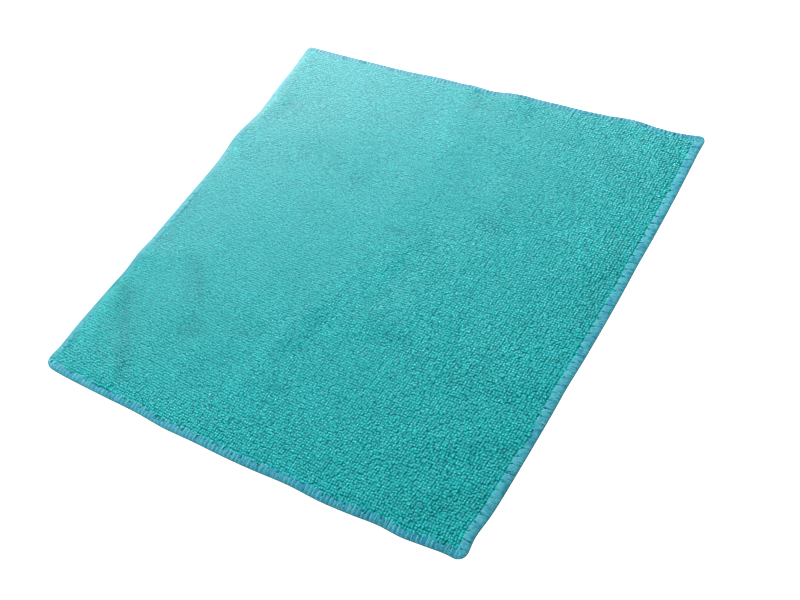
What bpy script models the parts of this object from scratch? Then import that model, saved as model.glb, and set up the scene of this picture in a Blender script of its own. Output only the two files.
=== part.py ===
"""Microfibre cleaning cloth: one square of terry with an overlocked hem, opened out and laid flat.

The cloth lies on the plane z = 0. +X runs along its far and near edges, +Y from the near edge to the far
one, +Z up. The origin is the middle of its bounding box, at the bottom. It had been folded in half along Y
and in thirds along X, so a low uneven ridge is left at each of the three fold lines, and its corners curl up
a little. The rows of the tables are in millimetres.
"""

import math
from collections import namedtuple

import bmesh
import bpy
import numpy as np

MM = 0.001

# The cut square and its make-up
SIDE = 300 * MM  # from corner to corner, before the edges bow
PILE_THICKNESS = 2.6 * MM  # ground fabric with the pile on both of its faces
HEM_THICKNESS = 2.2 * MM  # where the sewing presses the pile down
HEM_WIDTH = 6.2 * MM  # from the edge to the inner line of stitches
PILE_RISE = 2.4 * MM  # from the inner line of stitches to the full pile
RIM_WIDTH = 1.1 * MM  # the rounded outer edge of the hem
RIM_ANGLES = (0, 40, 90)  # degrees round the rim, from its outermost line to its top
LEAST_LIFT = 0.06 * MM  # where a fold or curl would lift it less than this, the limp cloth rests
SHARP_ANGLE = math.radians(60)  # no edge of the soft cloth turns as sharply as this

# How finely the surface is divided
PANEL_STEP = 9.5 * MM  # on the flat panels
FOLD_STEP = 4.6 * MM  # across the folds

COLOUR = (0.052, 0.384, 0.434, 1.0)
ROUGHNESS = 0.92

# An edge's bow: how far the outline lies outside the straight side at this place along it
Bow = namedtuple("Bow", "along out")
FAR_EDGE = (
    Bow(-150, -1.6), Bow(-120, -0.8), Bow(-60, -1.6), Bow(-38, -1.0), Bow(-14, -1.9), Bow(8, -2.2),
    Bow(34, -0.9), Bow(85, -1.0), Bow(104, 0.1), Bow(120, -1.9), Bow(133, -2.5), Bow(143, -1.9),
    Bow(150, -1.0),
)
RIGHT_EDGE = (
    Bow(-150, 0.6), Bow(-144, 0.3), Bow(-137, -0.6), Bow(-122, 0.6), Bow(-90, 1.4), Bow(-50, 1.7),
    Bow(10, 2.1), Bow(45, 1.7), Bow(85, 1.1), Bow(110, 0.4), Bow(126, -0.3), Bow(138, -0.7), Bow(150, -0.4),
)
NEAR_EDGE = (
    Bow(-150, -1.8), Bow(-136, -0.9), Bow(-105, -0.2), Bow(-70, 0.4), Bow(-48, 1.8), Bow(-20, 2.0),
    Bow(15, 2.0), Bow(42, 1.1), Bow(66, 1.8), Bow(84, 1.1), Bow(100, 0.1), Bow(114, 0.7), Bow(128, -0.3),
    Bow(140, -1.0), Bow(150, -0.2),
)
LEFT_EDGE = (
    Bow(-150, -1.5), Bow(-138, -2.4), Bow(-118, -1.1), Bow(-90, -1.2), Bow(-62, -2.4), Bow(-38, -2.1),
    Bow(0, -2.4), Bow(34, -2.3), Bow(50, -1.1), Bow(66, -2.6), Bow(96, -2.1), Bow(110, -1.3), Bow(126, -1.6),
    Bow(150, -1.3),
)

# A fold's ridge: where its crest crosses, how high it stands, and how far each of its two slopes runs out
Fold = namedtuple("Fold", "along crest height before after")
HALF_FOLD = (  # along is y, crest is x; before is its left slope, after its right slope
    Fold(-150, -26, 0.8, 24, 26), Fold(-124, -21, 0.3, 14, 26), Fold(-112, -18, 0.9, 13, 28),
    Fold(-90, -17, 0.9, 13, 26), Fold(-78, -13, 1.3, 13, 20), Fold(-64, -12, 1.6, 12, 15),
    Fold(-50, -11, 1.6, 13, 18), Fold(-35, -8, 1.3, 18, 28), Fold(-10, -6, 0.8, 12, 32),
    Fold(25, -5, 1.0, 12, 28), Fold(52, -5, 0.9, 13, 28), Fold(75, -1, 0.8, 22, 24),
    Fold(110, 1, 1.4, 28, 22), Fold(130, -6, 0.9, 18, 14), Fold(150, -10, 0.9, 12, 12),
)
SIDE_FOLD = (  # the right brink of the raised band beside the half fold
    Fold(-150, 10, 0.0, 26, 15), Fold(-46, 10, 0.0, 26, 15), Fold(-32, 12, 0.6, 26, 15),
    Fold(-12, 13, 1.1, 26, 15), Fold(8, 15, 1.1, 26, 15), Fold(24, 15, 0.4, 26, 15),
    Fold(60, 6, 0.2, 26, 15), Fold(150, 6, 0.0, 26, 15),
)
VALLEY_BRINK = (  # the ridge beyond the valley right of that band, and its far end at the far edge
    Fold(-150, 50, 0.0, 15, 36), Fold(-44, 46, 0.0, 15, 36), Fold(-30, 44, 0.7, 19, 36),
    Fold(-10, 49, 0.8, 20, 34), Fold(20, 50, 0.6, 20, 34), Fold(42, 52, 0.1, 16, 30),
    Fold(80, 36, 0.0, 16, 26), Fold(112, 34, 0.7, 22, 20), Fold(128, 26, 1.2, 22, 18),
    Fold(150, 22, 1.6, 22, 20),
)
FAR_THIRD = (  # along is x, crest is y; before is its near slope, after its far slope
    Fold(-150, 62, 2.2, 22, 22), Fold(-134, 60, 1.0, 22, 30), Fold(-118, 68, 0.6, 22, 40),
    Fold(-100, 72, 0.9, 26, 48), Fold(-80, 79, 1.5, 30, 48), Fold(-62, 72, 1.6, 26, 46),
    Fold(-48, 62, 1.2, 19, 40), Fold(-34, 60, 0.4, 18, 30), Fold(0, 58, 0.2, 18, 26),
    Fold(42, 62, 0.4, 18, 30), Fold(57, 55, 1.2, 19, 34), Fold(70, 53, 0.6, 18, 30),
    Fold(92, 64, 0.4, 18, 26), Fold(112, 50, 0.2, 18, 24), Fold(128, 40, 0.7, 15, 24),
    Fold(150, 46, 0.6, 18, 20),
)
NEAR_THIRD = (  # along is x, crest is y; before is its near slope, after its far slope
    Fold(-150, -55, 1.5, 18, 16), Fold(-124, -50, 0.5, 16, 22), Fold(-106, -42, 0.7, 15, 30),
    Fold(-90, -56, 0.7, 15, 30), Fold(-72, -64, 0.2, 14, 20), Fold(-52, -64, 0.4, 14, 16),
    Fold(-38, -67, 0.6, 13, 15), Fold(-24, -60, 0.3, 14, 20), Fold(-4, -46, 0.7, 14, 24),
    Fold(20, -46, 1.0, 16, 34), Fold(40, -39, 1.3, 17, 40), Fold(56, -38, 1.4, 17, 42),
    Fold(70, -46, 1.1, 17, 40), Fold(88, -54, 0.4, 15, 36), Fold(110, -52, 0.5, 16, 34),
    Fold(136, -46, 1.0, 13, 30), Fold(150, -42, 0.8, 18, 24),
)

# A corner: which one, the radius it is sewn round, how high its tip curls, and how far in the curl reaches
# along the two edges
Corner = namedtuple("Corner", "x_side y_side radius lift reach_x reach_y")
CORNERS = (
    Corner(-1, 1, 4.5, 3.0, 50, 66),
    Corner(1, 1, 5.0, 1.0, 42, 30),
    Corner(1, -1, 6.0, 1.2, 28, 40),
    Corner(-1, -1, 8.0, 2.6, 70, 54),
)

# Stretches of the square that get the finer division, as they hold a fold
Stretch = namedtuple("Stretch", "start end")
ACROSS_X = (Stretch(-46, 64),)
ACROSS_Y = (Stretch(-84, -24), Stretch(36, 92))


def follow(rows, column, at):
    """The column's value at these places along the rows, on a smooth curve through every row."""
    along = np.array([row.along for row in rows], float) * MM
    value = np.array([getattr(row, column) for row in rows], float) * MM
    slope = np.gradient(value, along)
    k = np.clip(np.searchsorted(along, at) - 1, 0, len(rows) - 2)
    gap = along[k + 1] - along[k]
    t = np.clip((at - along[k]) / gap, 0, 1)
    from_here = (1 + 2 * t) * (1 - t) ** 2 * value[k] + t * (1 - t) ** 2 * gap * slope[k]
    to_next = t**2 * (3 - 2 * t) * value[k + 1] + t**2 * (t - 1) * gap * slope[k + 1]
    return from_here + to_next


def ridge(rows, along, across):
    """Height of a fold's ridge: half a cosine wave down each side of its crest."""
    beyond = across - follow(rows, "crest", along)
    reach = np.where(beyond < 0, follow(rows, "before", along), follow(rows, "after", along))
    down = np.clip(np.abs(beyond) / reach, 0, 1)
    height = np.maximum(follow(rows, "height", along), 0)
    return height * (1 + np.cos(math.pi * down)) / 2


def corner_curl(x, y):
    """Height that the corners curl up: the lift times the square of 1 - the share of the reach gone."""
    total = np.zeros_like(x)
    for corner in CORNERS:
        gone_x = (x - corner.x_side * SIDE / 2) / (corner.reach_x * MM)
        gone_y = (y - corner.y_side * SIDE / 2) / (corner.reach_y * MM)
        left = np.clip(1 - np.hypot(gone_x, gone_y), 0, 1)
        total += corner.lift * MM * left**2
    return total


def underside(x, y):
    """Height of the cloth's lower face over the plane that it lies on."""
    folds = (
        ridge(HALF_FOLD, y, x),
        ridge(SIDE_FOLD, y, x),
        ridge(VALLEY_BRINK, y, x),
        ridge(FAR_THIRD, x, y),
        ridge(NEAR_THIRD, x, y),
    )
    height = np.sqrt(sum(fold**2 for fold in folds)) + corner_curl(x, y)
    return np.where(height < LEAST_LIFT, 0, height)


def rounded(x, y):
    """The square's points with each corner drawn in from a square block to a quarter circle."""
    round_x, round_y = x.copy(), y.copy()
    for corner in CORNERS:
        radius = corner.radius * MM
        a = (x * corner.x_side - (SIDE / 2 - radius)) / radius
        b = (y * corner.y_side - (SIDE / 2 - radius)) / radius
        inside = (a > 0) & (b > 0)
        a, b = a[inside], b[inside]
        round_x[inside] = corner.x_side * (SIDE / 2 - radius + radius * a * np.sqrt(1 - b**2 / 2))
        round_y[inside] = corner.y_side * (SIDE / 2 - radius + radius * b * np.sqrt(1 - a**2 / 2))
    return round_x, round_y


def bowed(x, y):
    """The square's points moved with its bowed edges, each edge's bow fading towards the opposite edge."""
    right_share = x / SIDE + 0.5
    far_share = y / SIDE + 0.5
    out_x = right_share * follow(RIGHT_EDGE, "out", y) - (1 - right_share) * follow(LEFT_EDGE, "out", y)
    out_y = far_share * follow(FAR_EDGE, "out", x) - (1 - far_share) * follow(NEAR_EDGE, "out", x)
    return x + out_x, y + out_y


def stations(stretches):
    """Places of the grid lines across the square: close together at the rim and hem and over the folds."""
    rim = [RIM_WIDTH * (1 - math.cos(math.radians(angle))) for angle in RIM_ANGLES]
    border = [inset - SIDE / 2 for inset in (*rim, HEM_WIDTH, HEM_WIDTH + PILE_RISE)]
    inner_edge = border[-1]
    stops = [inner_edge, *(place * MM for stretch in stretches for place in stretch), -inner_edge]
    lines = border[:-1]
    for number, (start, end) in enumerate(zip(stops, stops[1:])):
        step = FOLD_STEP if number % 2 else PANEL_STEP
        count = math.ceil((end - start) / step)
        lines += [start + (end - start) * k / count for k in range(count)]
    return np.array(lines + [-place for place in reversed(border)])


def faces_between(x, y):
    """Heights of the lower and upper faces over a grid of the square's points."""
    inset = SIDE / 2 - np.maximum(np.abs(x), np.abs(y))
    rise = np.clip((inset - HEM_WIDTH) / PILE_RISE, 0, 1)
    thickness = HEM_THICKNESS + (PILE_THICKNESS - HEM_THICKNESS) * rise
    round_the_rim = np.clip(1 - inset / RIM_WIDTH, 0, 1)
    half = HEM_THICKNESS / 2 * np.sqrt(1 - round_the_rim**2)
    in_rim = inset < RIM_WIDTH
    low = np.where(in_rim, HEM_THICKNESS / 2 - half, 0.0)
    high = np.where(in_rim, HEM_THICKNESS / 2 + half, thickness)
    return low, high


def cloth_grid():
    """Plan positions and the two heights of every grid point, with the bounding box centred on the origin."""
    x, y = np.meshgrid(stations(ACROSS_X), stations(ACROSS_Y))
    low, high = faces_between(x, y)
    plan_x, plan_y = bowed(*rounded(x, y))
    rest = underside(plan_x, plan_y)
    plan_x -= (plan_x.min() + plan_x.max()) / 2
    plan_y -= (plan_y.min() + plan_y.max()) / 2
    return plan_x, plan_y, rest + low, rest + high


def cloth_mesh(name):
    """One closed sheet: an upper and a lower grid that share the outermost line of the rim."""
    plan_x, plan_y, low, high = cloth_grid()
    rows, columns = plan_x.shape
    bm = bmesh.new()

    def on_rim(i, j):
        return i in (0, rows - 1) or j in (0, columns - 1)

    upper = [
        [bm.verts.new((plan_x[i, j], plan_y[i, j], high[i, j])) for j in range(columns)]
        for i in range(rows)
    ]
    lower = [
        [
            upper[i][j] if on_rim(i, j) else bm.verts.new((plan_x[i, j], plan_y[i, j], low[i, j]))
            for j in range(columns)
        ]
        for i in range(rows)
    ]
    for i in range(rows - 1):
        for j in range(columns - 1):
            here, right, across, far = (i, j), (i, j + 1), (i + 1, j + 1), (i + 1, j)
            bm.faces.new([upper[a][b] for a, b in (here, right, across, far)])
            bm.faces.new([lower[a][b] for a, b in (here, far, across, right)])
    mesh = bpy.data.meshes.new(name)
    bm.to_mesh(mesh)
    bm.free()
    mesh.shade_smooth()
    mesh.set_sharp_from_angle(angle=SHARP_ANGLE)
    return mesh


def terry_material():
    """Teal microfibre terry: matt and soft."""
    material = bpy.data.materials.new("teal_terry")
    material.use_nodes = True
    shader = material.node_tree.nodes["Principled BSDF"]
    shader.inputs["Base Color"].default_value = COLOUR
    shader.inputs["Roughness"].default_value = ROUGHNESS
    shader.inputs["Metallic"].default_value = 0.0
    return material


def main():
    for leftover in list(bpy.data.objects):
        bpy.data.objects.remove(leftover)
    mesh = cloth_mesh("cloth_sheet")
    mesh.materials.append(terry_material())
    cloth = bpy.data.objects.new("cloth_sheet", mesh)
    bpy.context.scene.collection.objects.link(cloth)


main()
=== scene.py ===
"""Microfibre cleaning cloth: looped pile, ground fabric and overlocked hem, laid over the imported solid.

The cloth lies as its solid does: the tables of bowed edges, folds and corners are the solid's own, with a
few finer creases added. Over a closed ground fabric stand the loops of both faces, each a small closed tuft,
and round the four edges runs the overlock sewing in a soft thread. Rows of tables are in millimetres, and
every other length is in metres.
"""

import math
from collections import namedtuple

import bpy
import numpy as np
from mathutils import Matrix, Vector


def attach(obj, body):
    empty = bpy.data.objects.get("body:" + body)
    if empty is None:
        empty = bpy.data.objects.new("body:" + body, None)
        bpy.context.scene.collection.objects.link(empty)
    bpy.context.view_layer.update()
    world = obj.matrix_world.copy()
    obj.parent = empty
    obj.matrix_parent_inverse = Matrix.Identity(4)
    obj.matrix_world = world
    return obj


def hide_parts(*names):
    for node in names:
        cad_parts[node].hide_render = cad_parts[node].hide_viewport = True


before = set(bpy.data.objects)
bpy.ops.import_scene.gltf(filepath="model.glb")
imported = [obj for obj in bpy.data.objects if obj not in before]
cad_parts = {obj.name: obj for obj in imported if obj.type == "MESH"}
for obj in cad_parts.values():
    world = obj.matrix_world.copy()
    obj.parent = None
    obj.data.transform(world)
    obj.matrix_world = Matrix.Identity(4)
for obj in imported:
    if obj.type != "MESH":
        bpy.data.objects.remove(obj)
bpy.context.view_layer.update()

bl_info = {
    "name": "Terry cleaning cloth",
    "version": (1, 0, 0),
    "blender": (4, 5, 0),
    "location": "3D View > Sidebar > Cloth",
    "description": "Builds a looped microfibre cloth with an overlocked hem around its packed solid",
    "category": "Object",
}

SOLID = "cloth_sheet"
BAKE_MAP = "OFBake"
MM = 0.001

# An edge's bow: how far the outline lies outside the straight side at this place along it
Bow = namedtuple("Bow", "along out")
FAR_EDGE = (
    Bow(-150, -1.6), Bow(-120, -0.8), Bow(-60, -1.6), Bow(-38, -1.0), Bow(-14, -1.9), Bow(8, -2.2),
    Bow(34, -0.9), Bow(85, -1.0), Bow(104, 0.1), Bow(120, -1.9), Bow(133, -2.5), Bow(143, -1.9),
    Bow(150, -1.0),
)
RIGHT_EDGE = (
    Bow(-150, 0.6), Bow(-144, 0.3), Bow(-137, -0.6), Bow(-122, 0.6), Bow(-90, 1.4), Bow(-50, 1.7),
    Bow(10, 2.1), Bow(45, 1.7), Bow(85, 1.1), Bow(110, 0.4), Bow(126, -0.3), Bow(138, -0.7), Bow(150, -0.4),
)
NEAR_EDGE = (
    Bow(-150, -1.8), Bow(-136, -0.9), Bow(-105, -0.2), Bow(-70, 0.4), Bow(-48, 1.8), Bow(-20, 2.0),
    Bow(15, 2.0), Bow(42, 1.1), Bow(66, 1.8), Bow(84, 1.1), Bow(100, 0.1), Bow(114, 0.7), Bow(128, -0.3),
    Bow(140, -1.0), Bow(150, -0.2),
)
LEFT_EDGE = (
    Bow(-150, -1.5), Bow(-138, -2.4), Bow(-118, -1.1), Bow(-90, -1.2), Bow(-62, -2.4), Bow(-38, -2.1),
    Bow(0, -2.4), Bow(34, -2.3), Bow(50, -1.1), Bow(66, -2.6), Bow(96, -2.1), Bow(110, -1.3), Bow(126, -1.6),
    Bow(150, -1.3),
)

# A fold's ridge: where its crest crosses, how high it stands, and how far each of its two slopes runs out
Fold = namedtuple("Fold", "along crest height before after")
HALF_FOLD = (  # along is y, crest is x; before is its left slope, after its right slope
    Fold(-150, -26, 0.8, 24, 26), Fold(-124, -21, 0.3, 14, 26), Fold(-112, -18, 0.9, 13, 28),
    Fold(-90, -17, 0.9, 13, 26), Fold(-78, -13, 1.3, 13, 20), Fold(-64, -12, 1.6, 12, 15),
    Fold(-50, -11, 1.6, 13, 18), Fold(-35, -8, 1.3, 18, 28), Fold(-10, -6, 0.8, 12, 32),
    Fold(25, -5, 1.0, 12, 28), Fold(52, -5, 0.9, 13, 28), Fold(75, -1, 0.8, 22, 24),
    Fold(110, 1, 1.4, 28, 22), Fold(130, -6, 0.9, 18, 14), Fold(150, -10, 0.9, 12, 12),
)
SIDE_FOLD = (  # the right brink of the raised band beside the half fold
    Fold(-150, 10, 0.0, 26, 15), Fold(-46, 10, 0.0, 26, 15), Fold(-32, 12, 0.6, 26, 15),
    Fold(-12, 13, 1.1, 26, 15), Fold(8, 15, 1.1, 26, 15), Fold(24, 15, 0.4, 26, 15),
    Fold(60, 6, 0.2, 26, 15), Fold(150, 6, 0.0, 26, 15),
)
VALLEY_BRINK = (  # the ridge beyond the valley right of that band, and its far end at the far edge
    Fold(-150, 50, 0.0, 15, 36), Fold(-44, 46, 0.0, 15, 36), Fold(-30, 44, 0.7, 19, 36),
    Fold(-10, 49, 0.8, 20, 34), Fold(20, 50, 0.6, 20, 34), Fold(42, 52, 0.1, 16, 30),
    Fold(80, 36, 0.0, 16, 26), Fold(112, 34, 0.7, 22, 20), Fold(128, 26, 1.2, 22, 18),
    Fold(150, 22, 1.6, 22, 20),
)
FAR_THIRD = (  # along is x, crest is y; before is its near slope, after its far slope
    Fold(-150, 62, 2.2, 22, 22), Fold(-134, 60, 1.0, 22, 30), Fold(-118, 68, 0.6, 22, 40),
    Fold(-100, 72, 0.9, 26, 48), Fold(-80, 79, 1.5, 30, 48), Fold(-62, 72, 1.6, 26, 46),
    Fold(-48, 62, 1.2, 19, 40), Fold(-34, 60, 0.4, 18, 30), Fold(0, 58, 0.2, 18, 26),
    Fold(42, 62, 0.4, 18, 30), Fold(57, 55, 1.2, 19, 34), Fold(70, 53, 0.6, 18, 30),
    Fold(92, 64, 0.4, 18, 26), Fold(112, 50, 0.2, 18, 24), Fold(128, 40, 0.7, 15, 24),
    Fold(150, 46, 0.6, 18, 20),
)
NEAR_THIRD = (  # along is x, crest is y; before is its near slope, after its far slope
    Fold(-150, -55, 1.5, 18, 16), Fold(-124, -50, 0.5, 16, 22), Fold(-106, -42, 0.7, 15, 30),
    Fold(-90, -56, 0.7, 15, 30), Fold(-72, -64, 0.2, 14, 20), Fold(-52, -64, 0.4, 14, 16),
    Fold(-38, -67, 0.6, 13, 15), Fold(-24, -60, 0.3, 14, 20), Fold(-4, -46, 0.7, 14, 24),
    Fold(20, -46, 1.0, 16, 34), Fold(40, -39, 1.3, 17, 40), Fold(56, -38, 1.4, 17, 42),
    Fold(70, -46, 1.1, 17, 40), Fold(88, -54, 0.4, 15, 36), Fold(110, -52, 0.5, 16, 34),
    Fold(136, -46, 1.0, 13, 30), Fold(150, -42, 0.8, 18, 24),
)

# A corner: which one, the radius it is sewn round, how high its tip curls, and how far in the curl reaches
# along the two edges
Corner = namedtuple("Corner", "x_side y_side radius lift reach_x reach_y")
CORNERS = (
    Corner(-1, 1, 4.5, 3.0, 50, 66),
    Corner(1, 1, 5.0, 1.0, 42, 30),
    Corner(1, -1, 6.0, 1.2, 28, 40),
    Corner(-1, -1, 8.0, 2.6, 70, 54),
)

# A crease: a soft trough in the upper face between two points, so wide and so deep; a ridge where depth is
# less than nothing
Crease = namedtuple("Crease", "x_from y_from x_to y_to width depth")
CREASES = (
    Crease(-4, 28, -1, 20, 4.5, 0.35), Crease(1, 76, 5, 64, 4.0, 0.35), Crease(-5, 147, -5, 132, 6.0, 0.40),
    Crease(50, 57, 62, 40, 8.0, 0.25), Crease(88, 122, 124, 96, 10.0, 0.25),
    Crease(124, 136, 134, 119, 9.0, -0.55), Crease(134, 119, 140, 103, 9.0, -0.50),
    Crease(131, 133, 139, 120, 5.0, 0.45), Crease(-50, 134, -49, 112, 10.0, 0.25),
    Crease(-142, -80, -132, -112, 11.0, -0.75), Crease(-137, -75, -126, -94, 6.0, 0.50),
    Crease(-126, -94, -118, -108, 8.0, 0.35), Crease(-107, -118, -102, -142, 10.0, -0.60),
    Crease(-140, -126, -137, -140, 9.0, 0.40), Crease(-108, -47, -91, -64, 7.0, 0.50),
    Crease(-92, -82, -89, -92, 20.0, -0.70), Crease(-78, -87, -70, -91, 10.0, 0.40),
    Crease(-137, 102, -138, 78, 9.0, -0.65),
    Crease(-128, 100, -128, 78, 7.0, 0.30), Crease(-130, 52, -130, 45, 8.0, -0.40),
    Crease(-142, 2, -140, -46, 4.5, 0.40), Crease(92, -103, 118, -92, 15.0, -0.42),
    Crease(118, -92, 140, -76, 15.0, -0.48), Crease(114, -137, 124, -114, 12.0, -0.55),
)

# A line of painted shading on the pile, painted shade along a crease or painted light on a slope turned to
# the
# light: the line, so wide, and how much lighter or darker the pile is painted there
PaintedShading = namedtuple("PaintedShading", "x_from y_from x_to y_to width shade")
PAINTED_SHADING = (
    PaintedShading(-138, -82, -94, -134, 9, -0.15), PaintedShading(-144, -88, -138, -124, 8, 0.12),
    PaintedShading(96, -110, 141, -89, 13, -0.05), PaintedShading(117, -136, 141, -120, 12, -0.10),
    PaintedShading(128, 140, 141, 110, 7, -0.06), PaintedShading(-107, -49, -88, -67, 11, -0.12),
    PaintedShading(-76, -89, -74, -89, 13, -0.14), PaintedShading(-39, -76, -36, -75, 9, -0.10),
    PaintedShading(57, 45, 62, 44, 14, -0.09), PaintedShading(-128, 46, -87, 66, 20, -0.03),
    PaintedShading(-87, 66, -44, 48, 20, -0.04), PaintedShading(-1, 22, 15, 22, 5, -0.10),
    PaintedShading(25, 17, 25, -32, 11, -0.05), PaintedShading(99, 115, 134, 97, 14, -0.05),
    PaintedShading(-131, 96, -134, 70, 6, -0.08), PaintedShading(-3, 150, -1, 126, 7, -0.10),
    PaintedShading(-5, -50, -2, -76, 12, -0.04), PaintedShading(6, -50, 38, -47, 11, -0.02),
    PaintedShading(46, -44, 68, -54, 12, -0.07), PaintedShading(92, -58, 140, -50, 14, -0.05),
    PaintedShading(138, 56, 138, 2, 16, -0.08), PaintedShading(-140, 2, -139, -44, 6, -0.08),
    PaintedShading(-144, 98, -100, 92, 26, -0.06), PaintedShading(-16, 138, -14, 92, 24, 0.05),
    PaintedShading(-22, -90, -24, -115, 10, 0.05),
)


def follow(rows, column, at):
    """The column's value at these places along the rows, on a smooth cubic curve through every row."""
    along = np.array([row.along for row in rows], float) * MM
    value = np.array([getattr(row, column) for row in rows], float) * MM
    slope = np.gradient(value, along)
    k = np.clip(np.searchsorted(along, at) - 1, 0, len(rows) - 2)
    gap = along[k + 1] - along[k]
    t = np.clip((at - along[k]) / gap, 0, 1)
    from_here = (1 + 2 * t) * (1 - t) ** 2 * value[k] + t * (1 - t) ** 2 * gap * slope[k]
    to_next = t**2 * (3 - 2 * t) * value[k + 1] + t**2 * (t - 1) * gap * slope[k + 1]
    return from_here + to_next


def ridge(rows, along, across):
    """Height of a fold's ridge: half a cosine wave down each side of its crest."""
    beyond = across - follow(rows, "crest", along)
    reach = np.where(beyond < 0, follow(rows, "before", along), follow(rows, "after", along))
    down = np.clip(np.abs(beyond) / reach, 0, 1)
    height = np.maximum(follow(rows, "height", along), 0)
    return height * (1 + np.cos(math.pi * down)) / 2


def corner_curl(x, y, half_side):
    """Height that the corners curl up: the lift times the square of 1 - the share of the reach gone."""
    total = np.zeros_like(x)
    for corner in CORNERS:
        gone_x = (x - corner.x_side * half_side) / (corner.reach_x * MM)
        gone_y = (y - corner.y_side * half_side) / (corner.reach_y * MM)
        total += corner.lift * MM * np.clip(1 - np.hypot(gone_x, gone_y), 0, 1) ** 2
    return total


def underside(x, y, half_side):
    """Height of the cloth's lower face: the root of the summed squares of the ridges, plus the curls."""
    folds = (
        ridge(HALF_FOLD, y, x),
        ridge(SIDE_FOLD, y, x),
        ridge(VALLEY_BRINK, y, x),
        ridge(FAR_THIRD, x, y),
        ridge(NEAR_THIRD, x, y),
    )
    return np.sqrt(sum(fold**2 for fold in folds)) + corner_curl(x, y, half_side)


def round_lines(rows, column, x, y):
    """The sum over the rows of the column's value times (1 - (distance / width)^2)^2 round each line."""
    total = np.zeros_like(x)
    for row in rows:
        start = np.array((row.x_from, row.y_from)) * MM
        run = np.array((row.x_to, row.y_to)) * MM - start
        share = np.clip(((x - start[0]) * run[0] + (y - start[1]) * run[1]) / (run @ run), 0, 1)
        away = np.hypot(x - start[0] - share * run[0], y - start[1] - share * run[1])
        total += getattr(row, column) * np.clip(1 - (away / (row.width * MM)) ** 2, 0, 1) ** 2
    return total


def rounded(x, y, half_side):
    """The square's points with each corner drawn in from a square block to a quarter circle."""
    round_x, round_y = x.copy(), y.copy()
    for corner in CORNERS:
        radius = corner.radius * MM
        a = (x * corner.x_side - (half_side - radius)) / radius
        b = (y * corner.y_side - (half_side - radius)) / radius
        inside = (a > 0) & (b > 0)
        a, b = a[inside], b[inside]
        round_x[inside] = corner.x_side * (half_side - radius + radius * a * np.sqrt(1 - b**2 / 2))
        round_y[inside] = corner.y_side * (half_side - radius + radius * b * np.sqrt(1 - a**2 / 2))
    return round_x, round_y


def bowed(x, y, half_side):
    """The square's points moved with its bowed edges, each edge's bow fading towards the opposite edge."""
    right_share = x / half_side / 2 + 0.5
    far_share = y / half_side / 2 + 0.5
    out_x = right_share * follow(RIGHT_EDGE, "out", y) - (1 - right_share) * follow(LEFT_EDGE, "out", y)
    out_y = far_share * follow(FAR_EDGE, "out", x) - (1 - far_share) * follow(NEAR_EDGE, "out", x)
    return x + out_x, y + out_y


class Lie:
    """How the cut square lies: it takes points of the square to their places on the table."""

    def __init__(self, side):
        self.half = side / 2
        self.middle = (0.0, 0.0)
        t = np.linspace(-self.half, self.half, 1201)
        edge = np.full_like(t, self.half)
        x, y, _ = self.place(np.concatenate((t, t, edge, -edge)), np.concatenate((edge, -edge, t, t)))
        self.middle = ((x.min() + x.max()) / 2, (y.min() + y.max()) / 2)

    def place(self, u, v):
        """Plan x and y of the square's points, and the height of the cloth's underside there."""
        x, y = bowed(*rounded(u, v, self.half), self.half)
        return x - self.middle[0], y - self.middle[1], underside(x, y, self.half)

    def points(self, u, v, height, creased=0.0):
        """Points at this height over the underside, less the creases' depth times creased."""
        x, y, rest = self.place(u, v)
        depth = round_lines(CREASES, "depth", x + self.middle[0], y + self.middle[1]) * MM * creased
        return np.stack((x, y, rest + height - depth), -1)


def drift(x, y, wavelength, rng):
    """A smooth random field of unit spread: a scaled sum of cosine waves of random course and phase."""
    waves = 10
    course = rng.uniform(0, 2 * math.pi, waves)
    number = 2 * math.pi / (wavelength * rng.uniform(0.7, 1.5, waves))
    phase = rng.uniform(0, 2 * math.pi, waves)
    along = x[..., None] * np.cos(course) + y[..., None] * np.sin(course)
    return math.sqrt(2 / waves) * np.cos(number * along + phase).sum(-1)


def mesh_of(name, points, *faces):
    """A smooth-shaded mesh of points (count, 3) and of face arrays, each (count, corners)."""
    mesh = bpy.data.meshes.new(name)
    mesh.vertices.add(len(points))
    mesh.vertices.foreach_set("co", points.astype(np.float32).ravel())
    corners = np.concatenate([group.ravel() for group in faces])
    totals = np.concatenate([np.full(len(group), group.shape[1]) for group in faces])
    mesh.loops.add(len(corners))
    mesh.loops.foreach_set("vertex_index", corners.astype(np.int32))
    mesh.polygons.add(len(totals))
    mesh.polygons.foreach_set("loop_start", (np.cumsum(totals) - totals).astype(np.int32))
    mesh.update(calc_edges=True)
    mesh.shade_smooth()
    return mesh


def add_attribute(mesh, name, values):
    """Keeps one number or one vector for each point, for the material to read."""
    kind, field = ("FLOAT", "value") if values.ndim == 1 else ("FLOAT_VECTOR", "vector")
    mesh.attributes.new(name, kind, "POINT").data.foreach_set(field, values.astype(np.float32).ravel())


def add_map(mesh, places):
    """Gives the mesh its flat map, from a place in the unit square for each point."""
    corners = np.empty(len(mesh.loops), np.int32)
    mesh.loops.foreach_get("vertex_index", corners)
    layer = mesh.uv_layers.new(name=BAKE_MAP)
    layer.uv.foreach_set("vector", places[corners].astype(np.float32).ravel())


def put_in_scene(name, mesh, material):
    """A finished piece, at the origin, riding on the frame's one body."""
    mesh.materials.append(material)
    piece = bpy.data.objects.new(name, mesh)
    bpy.context.scene.collection.objects.link(piece)
    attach(piece, "root")
    return piece


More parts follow.
